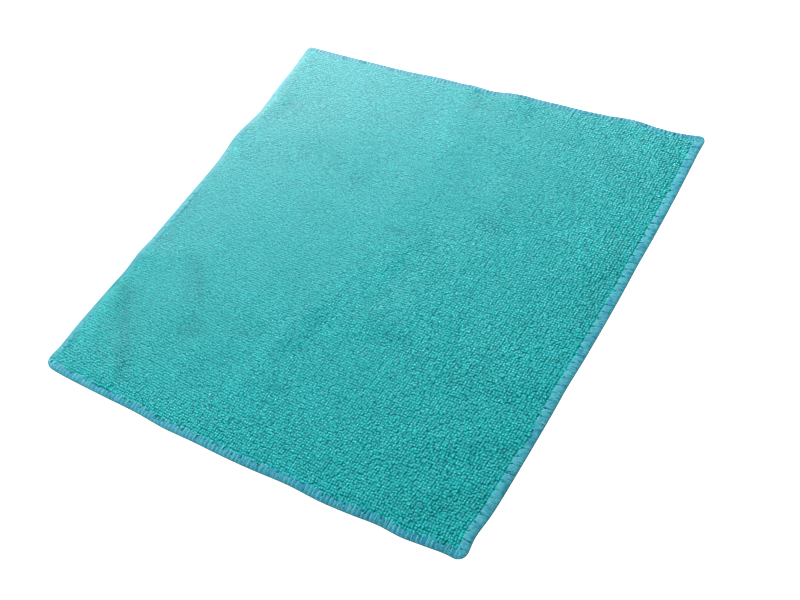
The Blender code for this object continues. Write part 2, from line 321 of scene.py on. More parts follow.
class Value:
    """A shader value: arithmetic on it adds Math nodes to its material."""

    def __init__(self, tree, socket):
        self.tree = tree
        self.socket = socket

    def math(self, operation, first, second):
        """Adds one Math node to work on two values or plain numbers."""
        node = self.tree.nodes.new("ShaderNodeMath")
        node.operation = operation
        for socket, value in zip(node.inputs, (first, second)):
            if isinstance(value, Value):
                self.tree.links.new(value.socket, socket)
            else:
                socket.default_value = value
        return Value(self.tree, node.outputs[0])

    def __add__(self, other):
        return self.math("ADD", self, other)

    def __radd__(self, other):
        return self.math("ADD", other, self)

    def __sub__(self, other):
        return self.math("SUBTRACT", self, other)

    def __rsub__(self, other):
        return self.math("SUBTRACT", other, self)

    def __mul__(self, other):
        return self.math("MULTIPLY", self, other)

    def __rmul__(self, other):
        return self.math("MULTIPLY", other, self)


class Finish:
    """A material with its Principled shader, and the one method that adds any other node."""

    def __init__(self, name):
        self.material = bpy.data.materials.new(name)
        self.material.use_nodes = True
        self.tree = self.material.node_tree
        self.shader = self.tree.nodes["Principled BSDF"]

    def node(self, kind, settings=None, values=None, output=0):
        """Adds a node of this kind, sets it up, fills or links its sockets and gives one of its outputs."""
        node = self.tree.nodes.new(kind)
        for name, setting in (settings or {}).items():
            setattr(node, name, setting)
        for name, value in (values or {}).items():
            self.put(node.inputs[name], value)
        return Value(self.tree, node.outputs[output])

    def put(self, socket, value):
        """Links a value to this socket, or writes a plain number, colour or vector into it."""
        if isinstance(value, Value):
            self.tree.links.new(value.socket, socket)
        else:
            socket.default_value = value

    def set(self, **values):
        """Sets or links the shader's own sockets, named with underscores for spaces."""
        for name, value in values.items():
            self.put(self.shader.inputs[name.replace("_", " ")], value)

    def attribute(self, name, output="Fac"):
        """A number or vector that the mesh keeps for each point."""
        return self.node("ShaderNodeAttribute", {"attribute_name": name}, output=output)

    def noise(self, vector, scale, detail, roughness=0.5):
        """A smooth random number, with so many waves to a metre or to a unit of the vector."""
        values = {"Vector": vector, "Scale": scale, "Detail": detail, "Roughness": roughness}
        return self.node("ShaderNodeTexNoise", values=values)

    def mix(self, factor, first, second):
        """The mix of two colours, whose sockets stand at 6 and 7 and whose result stands at 2."""
        values = {0: factor, 6: first, 7: second}
        return self.node("ShaderNodeMix", {"data_type": "RGBA"}, values, output=2)

    def scaled(self, colour, gain):
        """The colour made so many times lighter."""
        return self.node("ShaderNodeVectorMath", {"operation": "SCALE"}, {0: colour, "Scale": gain})

    def bump(self, height, distance, strength):
        """A normal tilted by the height's slope."""
        values = {"Height": height, "Distance": distance, "Strength": strength}
        return self.node("ShaderNodeBump", values=values)


def rgba(colour):
    """The colour with full opacity."""
    return (*colour, 1.0)


def colour_property(name, description, default):
    """A colour that the panel shows."""
    return bpy.props.FloatVectorProperty(
        name=name, description=description, default=default, size=3, min=0, max=1, subtype="COLOR"
    )


def number_property(name, description, default, unit="NONE"):
    """A number that the panel shows."""
    return bpy.props.FloatProperty(name=name, description=description, default=default, min=0, unit=unit)


def length_property(name, description, default):
    """A length that the panel shows."""
    return bpy.props.FloatProperty(
        name=name, description=description, default=default, min=0, precision=5, unit="LENGTH"
    )


class ClothSizes(bpy.types.PropertyGroup):
    """The cut square and what lies between its two faces."""

    side: length_property("Side", "Side of the cut square", 300 * MM)
    thickness: length_property("Thickness", "From the table to the loops' tips", 2.6 * MM)
    ground_low: length_property("Ground underside", "Height of the ground fabric's lower face", 0.85 * MM)
    ground_high: length_property("Ground top", "Height of the ground fabric's upper face", 2.38 * MM)
    core_low: length_property("Hem core underside", "Lower face of the pressed cloth in the hem", 0.4 * MM)
    core_high: length_property("Hem core top", "Upper face of the pressed cloth in the hem", 1.75 * MM)
    rim: length_property("Rim", "Width of the rounded outer edge", 1.0 * MM)
    grid_step: length_property("Grid step", "Spacing of the ground fabric's mesh", 2.4 * MM)


class PileSettings(bpy.types.PropertyGroup):
    """The loops of both faces."""

    pitch_x: length_property("Pitch across", "Spacing of the loops along the far and near edges", 1.7 * MM)
    pitch_y: length_property("Pitch along", "Spacing of the loops along the left and right edges", 1.6 * MM)
    radius: length_property("Loop radius", "Radius of a loop where it is widest", 0.84 * MM)
    lean: length_property("Lean", "How far the loops' tips lean off their feet", 0.12 * MM)
    uneven: length_property("Uneven height", "Spread of the loops' heights", 0.03 * MM)
    jitter: length_property("Jitter", "Spread of the loops off their even rows", 0.20 * MM)
    seed: bpy.props.IntProperty(name="Seed", description="Number that fixes the random draws", default=7)
    # The tip and root colours are one dye: the root colour is painted shade down between the loops, and the
    # ground colour, darker still, is painted shade in the gaps that show the ground
    tip: colour_property("Tip colour", "Colour of the loops' tips", (0.002, 0.395, 0.408))
    root: colour_property("Root colour", "Colour down between the loops", (0.000, 0.285, 0.300))
    ground: colour_property("Ground colour", "Colour of the ground fabric", (0.000, 0.190, 0.208))


class HemSettings(bpy.types.PropertyGroup):
    """The overlock sewing round the four edges."""

    side_width: length_property("Side width", "Width of the sewing on the left and right edges", 5.7 * MM)
    end_width: length_property("End width", "Width of the sewing on the far and near edges", 4.6 * MM)
    side_pitch: length_property("Side pitch", "Length of a stitch on the left and right edges", 5.15 * MM)
    end_pitch: length_property("End pitch", "Length of a stitch on the far and near edges", 2.77 * MM)
    pile_rise: length_property("Pile rise", "Width over which the pile rises from the sewing", 3.2 * MM)
    pile_foot: length_property("Pile foot", "Height of the loops' feet beside the sewing", 1.98 * MM)
    # The light and deep thread are one thread: painted light where it is puffed up, painted shade where it is
    # drawn down. The rim thread's dark colour is partly the chain's own and partly painted shadow under the
    # rim
    light: colour_property("Light thread", "Colour where the thread is puffed up", (0.070, 0.395, 0.465))
    deep: colour_property("Deep thread", "Colour where the thread is drawn down", (0.004, 0.215, 0.330))
    rim: colour_property("Rim thread", "Colour of the chain along the outer edge", (0.018, 0.080, 0.100))


class StageSettings(bpy.types.PropertyGroup):
    """The floor, the lights and the camera."""

    floor: colour_property("Floor", "Colour of the pale floor", (0.9, 0.9, 0.9))
    floor_glow: number_property("Floor glow", "Light that the floor gives itself", 0.95)
    key_power: number_property("Key light", "Power of the broad light high at the far left", 11.0, "POWER")
    front_power: number_property("Front light", "Power of the weak light low at the near left", 0.6, "POWER")
    gloss_power: number_property("Gloss light", "Power of the low light at the far left", 4.9, "POWER")
    fill: number_property("Fill light", "Strength of the even light all round", 0.38)
    lens: number_property("Lens", "Focal length in millimetres on a 36 mm wide sensor", 51.14)


RIM_ANGLES = (0, 35, 65, 90)  # in degrees, from the rim's outermost line to its inner end


def inset_of(u, v, lie):
    """How far in from the nearest edge of the square its points lie."""
    return lie.half - np.maximum(np.abs(u), np.abs(v))


def ground_stations(sizes):
    """Places of the grid lines across the square: three round the rim at each end, then even steps."""
    half = sizes.side / 2
    rim = [-half + sizes.rim * (1 - math.cos(math.radians(angle))) for angle in RIM_ANGLES]
    count = math.ceil(-2 * rim[-1] / sizes.grid_step)
    inner = np.linspace(rim[-1], -rim[-1], count + 1)
    return np.concatenate((rim[:-1], inner, [-place for place in reversed(rim[:-1])]))


def ground_face(inset, core, ground, hem):
    """Height of the ground's face this far in from the edge, from the pressed core to the open ground."""
    inner = np.clip((inset - hem.end_width) / hem.pile_rise, 0, 1)
    return core + (ground - core) * inner


def ground_mesh(lie, sizes, hem):
    """The ground fabric: an upper and a lower grid of the square that share the rim's outermost line.

    Under the sewing its faces are the pressed core's, and further in they part to the open ground's. Round
    the rim they follow half a circle: half the thickness times the root of 1 - (1 - inset / rim)^2.
    """
    line = ground_stations(sizes)
    u, v = np.meshgrid(line, line)
    inset = inset_of(u, v, lie)
    low = ground_face(inset, sizes.core_low, sizes.ground_low, hem)
    high = ground_face(inset, sizes.core_high, sizes.ground_high, hem)
    full = np.sqrt(1 - np.clip(1 - inset / sizes.rim, 0, 1) ** 2)
    middle = (low + high) / 2
    upper = lie.points(u, v, middle + (high - middle) * full, creased=1.0)
    lower = lie.points(u, v, middle + (low - middle) * full)
    count = len(line)
    on_rim = inset <= 0.5 * sizes.rim * (1 - math.cos(math.radians(RIM_ANGLES[1])))
    over = np.arange(count * count).reshape(count, count)
    under = over.copy()
    under[~on_rim] = count * count + np.arange((~on_rim).sum())
    quads = [
        np.stack((grid[:-1, :-1], grid[:-1, 1:], grid[1:, 1:], grid[1:, :-1]), -1).reshape(-1, 4)
        for grid in (over, under)
    ]
    points = np.concatenate((upper.reshape(-1, 3), lower[~on_rim]))
    mesh = mesh_of("terry_ground", points, quads[0], quads[1][:, ::-1])
    flat = np.stack((u, v), -1) / sizes.side + 0.5
    halved = (0.49, 1)
    beside = (0.51, 0)
    add_map(mesh, np.concatenate((flat.reshape(-1, 2) * halved, flat[~on_rim] * halved + beside)))
    return mesh


def loop_sites(lie, pile, hem, coarser, rng):
    """Places of the loops over the square: even rows of the two pitches, each loop a little off its place.

    The rows end at the wrapped threads and reach a share of a pitch beneath them. The pitches are so many
    times coarser than the pile's own.
    """
    beneath = 0.45
    reach_u = lie.half - SIDE_WRAPS.share * hem.side_width + beneath * pile.pitch_x
    reach_v = lie.half - END_WRAPS.share * hem.end_width + beneath * pile.pitch_y
    across = round(2 * reach_u / pile.pitch_x / coarser)
    along = round(2 * reach_v / pile.pitch_y / coarser)
    u = ((np.arange(across) + 0.5) / across * 2 - 1) * reach_u
    v = ((np.arange(along) + 0.5) / along * 2 - 1) * reach_v
    u, v = (grid.ravel() for grid in np.meshgrid(u, v))
    u = u + pile.jitter * rng.normal(size=u.size)
    v = v + pile.jitter * rng.normal(size=v.size)
    return u, v


# A ring of a loop: its shares of the loop's radius, height and lean, and how pale its colour is, from the
# root colour at 0 to the tip colour at 1, which paints shade towards the loop's foot. From the top down a
# loop is a point, a ring and a point, its tip is where the height is 1.0, and heights below nothing reach
# into the ground
Ring = namedtuple("Ring", "radius height lean pale")
UPPER_LOOP = (Ring(0, 1.0, 1.0, 1.0), Ring(1.58, 0.45, 0.2, 0.0), Ring(0, -0.8, 0, 0))
LOWER_LOOP = (Ring(0, -0.3, 0, 0), Ring(1.2, 0.4, 0.3, 0.2), Ring(0, 1.0, 1.0, 1.0))
LOOP_SIDES = 6

# One face's pile: its loops, how much coarser their rows are, the heights of their feet beside the sewing and
# on the open ground, how far they reach up or down from there, and how much of the creases' depth they follow
PileFace = namedtuple("PileFace", "loop coarser edge_foot open_foot reach creased")


def loop_faces():
    """Triangles of one closed loop, facing outwards: two fans, from its top and from its bottom point."""
    here = 1 + np.arange(LOOP_SIDES)
    after = np.roll(here, -1)
    top, bottom = np.zeros_like(here), np.full_like(here, LOOP_SIDES + 1)
    return np.concatenate((np.stack((top, here, after), -1), np.stack((bottom, after, here), -1)))


def loop_points(u, v, rings, pile, rng):
    """Offsets (loops, points, 2) of the loops' points from their feet, and their heights and paleness.

    Each ring is a circle of jittered radius, stretched one way and narrowed the other by the same share,
    and moved with the loop's lean. Half of the lean drifts slowly over the cloth, as the nap does.
    """
    count = u.size
    turn = rng.uniform(0, 2 * math.pi, count)[:, None]
    stretch = np.exp(rng.uniform(0.0, 0.20, count))[:, None]
    course = rng.uniform(0, math.pi, count)[:, None]
    size = np.exp(rng.normal(0, 0.10, count))[:, None] * pile.radius
    nap = 35 * MM
    lean_u, lean_v = (
        pile.lean * (0.5 * drift(u, v, nap, rng) + 0.5 * rng.normal(size=count))[:, None] for _ in "uv"
    )
    offsets, shares, paleness = [], [], []
    for ring in rings:
        angle = turn + 2 * math.pi * np.arange(LOOP_SIDES) / LOOP_SIDES
        if not ring.radius:
            angle = angle[:, :1]
        radius = ring.radius * size * (1 + 0.10 * rng.normal(size=angle.shape))
        du = radius * np.cos(angle - course) * stretch
        dv = radius * np.sin(angle - course) / stretch
        along_u = du * np.cos(course) - dv * np.sin(course) + ring.lean * lean_u
        along_v = du * np.sin(course) + dv * np.cos(course) + ring.lean * lean_v
        offsets.append(np.stack((along_u, along_v), -1))
        shares.append(np.full(angle.shape, ring.height))
        paleness.append(np.full(angle.shape, ring.pale))
    return (np.concatenate(columns, 1) for columns in (offsets, shares, paleness))


def pile_mesh(name, lie, sizes, hem, pile, face, u, v, rng):
    """A patch of loops, each point standing its share of the reach off the ground beneath it.

    Their domes are smooth, and the hidden faces at their feet are flat.
    """
    offsets, share, pale = loop_points(u, v, face.loop, pile, rng)
    uneven = pile.uneven * np.clip(rng.normal(size=u.size), -2, 2)[:, None]
    point_u, point_v = u[:, None] + offsets[..., 0], v[:, None] + offsets[..., 1]
    foot = ground_face(inset_of(point_u, point_v, lie), face.edge_foot, face.open_foot, hem)
    height = foot + share * (face.reach - np.sign(face.reach) * np.abs(uneven))
    points = lie.points(point_u, point_v, height, face.creased)
    template = loop_faces()
    size = LOOP_SIDES + 2
    faces = (template[None] + size * np.arange(u.size)[:, None, None]).reshape(-1, 3)
    mesh = mesh_of(name, points.reshape(-1, 3), faces)
    smooth = np.ones((u.size, 2, LOOP_SIDES), bool)
    foot_fan = 0 if face.loop[0].height < 0 else 1
    smooth[:, foot_fan] = False
    mesh.polygons.foreach_set("use_smooth", smooth.ravel())
    # Each loop's tone: a small random spread, plus the painted shading lines, painted shade along the creases
    # and painted light beside some; its paleness paints shade towards its foot
    tone = np.repeat(0.03 * rng.normal(size=u.size) + round_lines(PAINTED_SHADING, "shade", u, v), size)
    add_attribute(mesh, "pale", pale.ravel())
    add_attribute(mesh, "tone", tone)
    add_map(mesh, points.reshape(-1, 3)[:, :2] / (1.02 * sizes.side) + 0.5)
    return mesh


def tubes(name, centre, sideways, half_width, half_height, sides):
    """Closed tubes round paths (tubes, steps, 3): each ring is an ellipse in the plane of sideways and up.

    A ring's point is centre + half_width cos(a) sideways + half_height sin(a) up, and up is the path's
    direction crossed with sideways. Each end is closed with one flat face.
    """
    ahead = np.gradient(centre, axis=1)
    up = np.cross(ahead, sideways)
    up /= np.linalg.norm(up, axis=-1, keepdims=True)
    count, steps = centre.shape[:2]
    angle = 2 * math.pi * np.arange(sides) / sides
    out = (half_width[..., None, None] * np.cos(angle)[:, None]) * sideways[:, :, None]
    out = out + (half_height[..., None, None] * np.sin(angle)[:, None]) * up[:, :, None]
    points = centre[:, :, None] + out
    index = np.arange(count * steps * sides).reshape(count, steps, sides)
    turned = np.roll(index, -1, axis=2)
    quads = np.stack((index[:, :-1], turned[:, :-1], turned[:, 1:], index[:, 1:]), -1).reshape(-1, 4)
    mesh = mesh_of(name, points.reshape(-1, 3), quads, index[:, 0, ::-1], index[:, -1])
    columns = math.ceil(math.sqrt(count))
    row, column = np.divmod(np.arange(count), columns)
    margin, span = 0.08, 0.84
    round_share = np.broadcast_to(np.abs(angle / math.pi - 1), points.shape[:3])
    long_share = np.broadcast_to(np.linspace(0, 1, steps)[:, None], points.shape[:3])
    across = (column[:, None, None] + margin + span * round_share) / columns
    along = (row[:, None, None] + margin + span * long_share) / columns
    add_map(mesh, np.stack((across, along), -1).reshape(-1, 2))
    return mesh, np.broadcast_to(angle, points.shape[:3]), long_share


# An edge of the square: how much paler or darker its thread is, how much pile lies over it, and how high its
# chain runs. The left edge's thread is made darker: painted shade on that hem
Edge = namedtuple("Edge", "tone fluff chain")
EDGES = {  # anticlockwise, seen from above
    "right": Edge(0.0, 0.0, 0.85), "far": Edge(0.0, 0.0, 0.85),
    "left": Edge(-0.5, 0.7, 1.45), "near": Edge(0.0, 0.0, 0.85),
}

# The wrapped threads of an edge: how pale each thread of a stitch is, the paler threads painted light as
# lying higher and the darker ones painted shade as drawn down, how much of the hem's width they take, how
# high they start at the needle line, and how unevenly far they reach in
Wraps = namedtuple("Wraps", "shades share needle spread")
SIDE_WRAPS = Wraps((0.45, 0.6, 0.6, 0.6, 0.6), 0.82, 1.65, 0.06)
END_WRAPS = Wraps((1.0, 0.45, -0.3), 1.0, 1.95, 0.26)
WRAP_TOP = 1.95 * MM
WRAP_UNDERSIDE = 0.32 * MM


def hem_square(edge, along, inset, half):
    """Points of the square from places along an edge, anticlockwise, and insets from it."""
    turns = list(EDGES).index(edge)
    across = half - inset
    return ((across, along), (-along, across), (-across, -along), (along, -across))[turns]


def hem_frame(lie, edge, along, inset, height):
    """Centre points of threads over an edge's hem, and the unit vectors along that edge there."""
    reach = lie.half - inset
    inside = np.clip(along, -reach, reach)
    small = 0.05 * MM
    ends = [
        lie.points(*hem_square(edge, np.clip(inside + step, -lie.half, lie.half), inset, lie.half), height)
        for step in (-small, small)
    ]
    sideways = ends[1] - ends[0]
    sideways /= np.linalg.norm(sideways, axis=-1, keepdims=True)
    return (ends[0] + ends[1]) / 2, sideways


def wrap_path(width, needle):
    """Insets and heights of a thread from the needle line over the hem, round the rim and back beneath.

    It rises from the needle line on a quarter sine wave and goes round the rim on half a circle.
    """
    steps_over, steps_round, steps_under = 6, 4, 4
    middle, radius = (WRAP_TOP + WRAP_UNDERSIDE) / 2, (WRAP_TOP - WRAP_UNDERSIDE) / 2
    turn_inset = 0.30 * MM + radius
    rise_share = 0.35
    share = np.linspace(0, 1, steps_over, endpoint=False)
    over_inset = width + (turn_inset - width) * share
    rise = np.sin(math.pi / 2 * np.clip(share / rise_share, 0, 1))
    angle = np.linspace(0, math.pi, steps_round, endpoint=False)
    over_height = needle + (WRAP_TOP - needle) * rise
    round_height = middle + radius * np.cos(angle)
    share = np.linspace(0, 1, steps_under)
    under_inset = turn_inset + (width - turn_inset) * share
    inset = np.concatenate((over_inset, turn_inset - radius * np.sin(angle), under_inset))
    height = np.concatenate((over_height, round_height, np.full(steps_under, WRAP_UNDERSIDE)))
    return inset, height


def thread_piece(name, lie, edge, along, inset, height, half_width, half_height, light, material, rng):
    """One piece of threads over an edge's hem, with the attributes that its material reads."""
    shape = along.shape
    inset, height, half_width, half_height, light = (
        np.broadcast_to(values, shape) for values in (inset, height, half_width, half_height, light)
    )
    centre, sideways = hem_frame(lie, edge, along, inset, height)
    mesh, angle, long_share = tubes(name, centre, sideways, half_width, half_height, 5)
    own = np.broadcast_to(rng.uniform(0, 40, shape[0])[:, None, None], angle.shape)
    fibre = np.stack((np.cos(angle) + own, np.sin(angle), 2.0 * long_share + own), -1)
    add_attribute(mesh, "fibre", fibre.reshape(-1, 3))
    add_attribute(mesh, "light", np.broadcast_to(light[..., None], angle.shape).ravel())
    add_attribute(mesh, "fluff", np.full(angle.size, EDGES[edge].fluff))
    put_in_scene(name, mesh, material)


def pile_finish(pile):
    """Looped microfibre: dark at its roots, paler at its tips, a little uneven from loop to loop.

    The dark roots are painted shade between the loops, the tone adds painted shading along the creases, and
    the fine speckle of the tufts is partly random tone and partly painted light and shade of the loops.
    """
    finish = Finish("loop_pile")
    place = finish.node("ShaderNodeTexCoord", output="Object")
    pale = finish.attribute("pale")
    tone = finish.attribute("tone")
    patches = finish.noise(place, 45.0, 3.0, 0.55)
    # The tufts' fine speckle is partly random tone and partly painted light and shade of the loops' relief
    tufts = finish.noise(place, 1250.0, 1.0, 0.5)
    gain = 1.0 + tone + (patches - 0.5) * 0.06 + (tufts - 0.5) * 1.9
    colour = finish.scaled(finish.mix(pale, rgba(pile.root), rgba(pile.tip)), gain)
    fibres = finish.noise(place, 3800.0, 2.0, 0.6)
    finish.set(
        Base_Color=colour,
        Roughness=0.85 - 0.47 * pale - (tufts - 0.5) * 0.5,
        Normal=finish.bump(fibres, 0.10 * MM, 0.25),
        IOR=1.45,
        Specular_IOR_Level=0.3,
        Sheen_Weight=0.06,
        Sheen_Roughness=0.35,
        Sheen_Tint=(0.08, 0.90, 1.0, 1.0),
    )
    return finish.material


def ground_finish(pile):
    """The ground fabric: a dark fine knit, whose ribs follow the rows of loops; its darkness is painted shade
    in the gaps between the loops.
    """
    finish = Finish("ground_knit")
    place = finish.node("ShaderNodeTexCoord", output="Object")
    ribs = finish.node(
        "ShaderNodeTexWave",
        {"wave_type": "BANDS", "bands_direction": "X"},
        {"Vector": place, "Scale": 160.0, "Distortion": 1.5, "Detail": 1.0},
        output="Fac",
    )
    patches = finish.noise(place, 900.0, 2.0)
    colour = finish.mix(0.25 + 0.5 * ribs * patches, rgba(pile.ground), rgba(pile.root))
    finish.set(
        Base_Color=colour,
        Roughness=0.92 + 0.06 * patches,
        Normal=finish.bump(ribs, 0.15 * MM, 0.5),
        Specular_IOR_Level=0.2,
        Sheen_Weight=0.2,
    )
    return finish.material


def thread_finish(name, fluff, light, deep):
    """Soft crimped thread: fine fibres along it, deeper in colour where it is drawn down as painted shade,
    and paler where it is puffed up as painted light.
    """
    finish = Finish(name)
    fibre = finish.attribute("fibre", "Vector")
    lit = finish.attribute("light")
    place = finish.node("ShaderNodeTexCoord", output="Object")
    strands = finish.noise(fibre, 3.2, 3.0, 0.65)
    patches = finish.noise(place, 260.0, 2.0, 0.5)
    factor = lit + (strands - 0.5) * 1.8 + (patches - 0.5) * 1.2
    colour = finish.mix(finish.attribute("fluff"), finish.mix(factor, rgba(deep), rgba(light)), rgba(fluff))
    finish.set(
        Base_Color=colour,
        Roughness=0.55 + 0.2 * strands,
        Normal=finish.bump(strands, 0.20 * MM, 0.4),
        Specular_IOR_Level=0.40,
        Sheen_Weight=0.08,
        Sheen_Roughness=0.4,
        Sheen_Tint=(0.50, 0.90, 1.0, 1.0),
    )
    return finish.material


class OBJECT_OT_terry_ground(bpy.types.Operator):
    """Builds the ground fabric, the sheet that the loops and the sewing stand on"""

    bl_idname = "object.terry_ground"
    bl_label = "Ground fabric"

    def execute(self, context):
        settings = context.scene
        mesh = ground_mesh(Lie(settings.cloth_sizes.side), settings.cloth_sizes, settings.cloth_hem)
        ground = put_in_scene("terry_ground", mesh, ground_finish(settings.cloth_pile))
        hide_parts(SOLID)
        return {"FINISHED"}


class OBJECT_OT_terry_pile(bpy.types.Operator):
    """Builds the loops of the upper and the lower face, as joined meshes of small closed tufts"""

    bl_idname = "object.terry_pile"
    bl_label = "Looped pile"

    def execute(self, context):
        settings = context.scene
        sizes, pile, hem = settings.cloth_sizes, settings.cloth_pile, settings.cloth_hem
        lie = Lie(sizes.side)
        rng = np.random.default_rng(pile.seed)
        material = pile_finish(pile)
        low, high = sizes.ground_low, sizes.ground_high
        clear = 0.02 * MM
        upper = PileFace(UPPER_LOOP, 1.0, hem.pile_foot, high, sizes.thickness - high, 1.0)
        lower = PileFace(LOWER_LOOP, 1.18, low, low, clear - low, 0.0)
        third = lie.half / 3
        u, v = loop_sites(lie, pile, hem, upper.coarser, rng)
        panels = {"pile_far": v > third, "pile_middle": np.abs(v) <= third, "pile_near": v < -third}
        for name, within in panels.items():
            mesh = pile_mesh(name, lie, sizes, hem, pile, upper, u[within], v[within], rng)
            put_in_scene(name, mesh, material)
        u, v = loop_sites(lie, pile, hem, lower.coarser, rng)
        halves = {"pile_under_left": u < 0, "pile_under_right": u >= 0}
        for name, within in halves.items():
            mesh = pile_mesh(name, lie, sizes, hem, pile, lower, u[within], v[within], rng)
            put_in_scene(name, mesh, material)
        return {"FINISHED"}


class OBJECT_OT_terry_overlock(bpy.types.Operator):
    """Sews the hem: threads wrapped over each edge, puffed stitches on top and a chain along the rim"""

    bl_idname = "object.terry_overlock"
    bl_label = "Overlocked hem"

    def execute(self, context):
        sizes, hem = context.scene.cloth_sizes, context.scene.cloth_hem
        lie = Lie(sizes.side)
        rng = np.random.default_rng(11)
        fluff = context.scene.cloth_pile.root
        thread = thread_finish("overlock_thread", fluff, hem.light, hem.deep)
        chain = thread_finish("rim_thread_and_shadow", fluff, hem.deep, hem.rim)
        for edge in EDGES:
            on_side = edge in ("right", "left")
            width = hem.side_width if on_side else hem.end_width
            stitches = round(sizes.side / (hem.side_pitch if on_side else hem.end_pitch))
            self.sew_wraps(edge, lie, width, stitches, SIDE_WRAPS if on_side else END_WRAPS, thread, rng)
            if on_side:
                self.sew_puffs(edge, lie, width, stitches, thread, rng)
            self.sew_chain(edge, lie, chain)
        return {"FINISHED"}

    def sew_wraps(self, edge, lie, width, stitches, wraps, material, rng):
        """Threads side by side from the needle line round the rim and back, slanting a little.

        A thread swells from its ends on the root of a sine wave, and the palest ones stand a little higher.
        """
        shades = np.tile(wraps.shades, stitches)
        count = len(shades)
        gap = 2 * lie.half / count
        start = (np.arange(count) + 0.5) * gap - lie.half
        inset, height = wrap_path(width * wraps.share, wraps.needle * MM)
        step = np.linspace(0, 1, inset.size)
        slant = gap * (0.5 + 0.25 * rng.normal(size=count))
        along = start[:, None] + slant[:, None] * step + 0.12 * gap * rng.normal(size=(count, inset.size))
        reach = 1 + wraps.spread * rng.normal(size=count)[:, None]
        clear_of_rim = inset > 2 * MM
        place = np.where(clear_of_rim, inset * reach, inset)
        pale_lift = 0.16 * MM * (shades > 0.9)
        light = shades + EDGES[edge].tone + 0.25 * rng.normal(size=count)
        on_top = 0.55
        over = np.sin(math.pi * np.clip(step / on_top, 0, 1))
        swell = 0.70 + 0.30 * np.sin(math.pi * np.clip(step * 1.02, 0, 1)) ** 0.5
        half_width = 0.62 * gap * swell * (1 + 0.12 * rng.normal(size=count)[:, None])
        thread_piece(
            f"overlock_{edge}", lie, edge, along, place, height + pale_lift[:, None] * over,
            half_width, 0.30 * MM * swell, light[:, None], material, rng,
        )

    def sew_puffs(self, edge, lie, width, stitches, material, rng):
        """Puffed bundles of thread on the hem's top, one for each stitch, spread from the needle's hole.

        A bundle rises to its puff and swells on powers of half a sine wave, and is palest at the needle.
        """
        strands = 5
        pitch = 2 * lie.half / stitches
        centre = (np.arange(stitches) + 0.5) * pitch - lie.half + 0.06 * pitch * rng.normal(size=stitches)
        fan = (np.arange(strands) - (strands - 1) / 2) / strands
        step = np.linspace(0, 1, 8)
        spread = 0.66 + 0.34 * step
        along = (
            centre[:, None, None]
            + fan[None, :, None] * 0.93 * pitch * spread
            + 0.025 * pitch * rng.normal(size=(stitches, strands, step.size))
        )
        along = along.reshape(-1, step.size)
        reach = 0.80 + 0.05 * rng.normal(size=along.shape[0])[:, None]
        inset = width * (1.02 - step * reach)
        foot, puff = 1.86 * MM, 0.26 * MM
        height = foot + puff * np.sin(math.pi * np.clip(0.12 + 0.88 * step, 0, 1)) ** 0.8
        swell = np.sin(math.pi * (0.10 + 0.80 * step)) ** 0.6
        own = np.repeat(0.18 * rng.normal(size=stitches), strands) + 0.12 * rng.normal(size=len(along))
        light = 0.95 - 0.5 * step**2 + own[:, None] + EDGES[edge].tone
        thread_piece(
            f"stitches_{edge}", lie, edge, along, inset, height, 0.60 * MM * swell, 0.24 * MM * swell,
            light, material, rng,
        )

    def sew_chain(self, edge, lie, material):
        """The loopers' chain along the rim: one thin tube, which waves in and out every four steps.

        Its dark colour is partly the chain's own and partly painted shadow under the rim.
        """
        steps = round(2 * lie.half / (1.2 * MM))
        along = np.linspace(-lie.half, lie.half, steps)[None]
        wave = np.sin(np.arange(steps) * math.pi / 2)[None]
        inset = (0.08 + 0.04 * wave) * MM
        half_width = (0.32 + 0.04 * wave) * MM
        centre, _ = hem_frame(lie, edge, along, inset, EDGES[edge].chain * MM)
        upright = np.broadcast_to(np.array((0.0, 0.0, 1.0)), centre.shape)
        mesh, angle, long_share = tubes(f"rim_{edge}", centre, upright, half_width, half_width, 6)
        fibre_turns, chain_light = 60.0, 0.15
        fibre = np.stack((np.cos(angle), np.sin(angle), fibre_turns * long_share), -1)
        add_attribute(mesh, "fibre", fibre.reshape(-1, 3))
        add_attribute(mesh, "light", np.full(angle.size, chain_light))
        put_in_scene(f"rim_{edge}", mesh, material)


class OBJECT_OT_terry_declare(bpy.types.Operator):
    bl_idname = "object.terry_declare"
    bl_label = "Declare the sheet"

    def execute(self, context):
        return {"FINISHED"}


# A soft light: where it stands round the cloth's middle, in degrees from the right hem and up from the table,
# how far off, its width and height, and how far its back is tilted up from level
Lamp = namedtuple("Lamp", "azimuth elevation distance width height tilt")
LAMPS = {
    "key_light": Lamp(135, 65, 0.6, 1.8, 0.4, 65),
    "front_light": Lamp(-125, 24, 1.0, 1.2, 0.5, 24),
    "gloss_light": Lamp(135, 11, 0.47, 1.0, 0.16, 35),
}


def towards(azimuth, elevation):
    """The unit vector at these angles, in degrees."""
    turn, rise = math.radians(azimuth), math.radians(elevation)
    return Vector((math.cos(turn) * math.cos(rise), math.sin(turn) * math.cos(rise), math.sin(rise)))


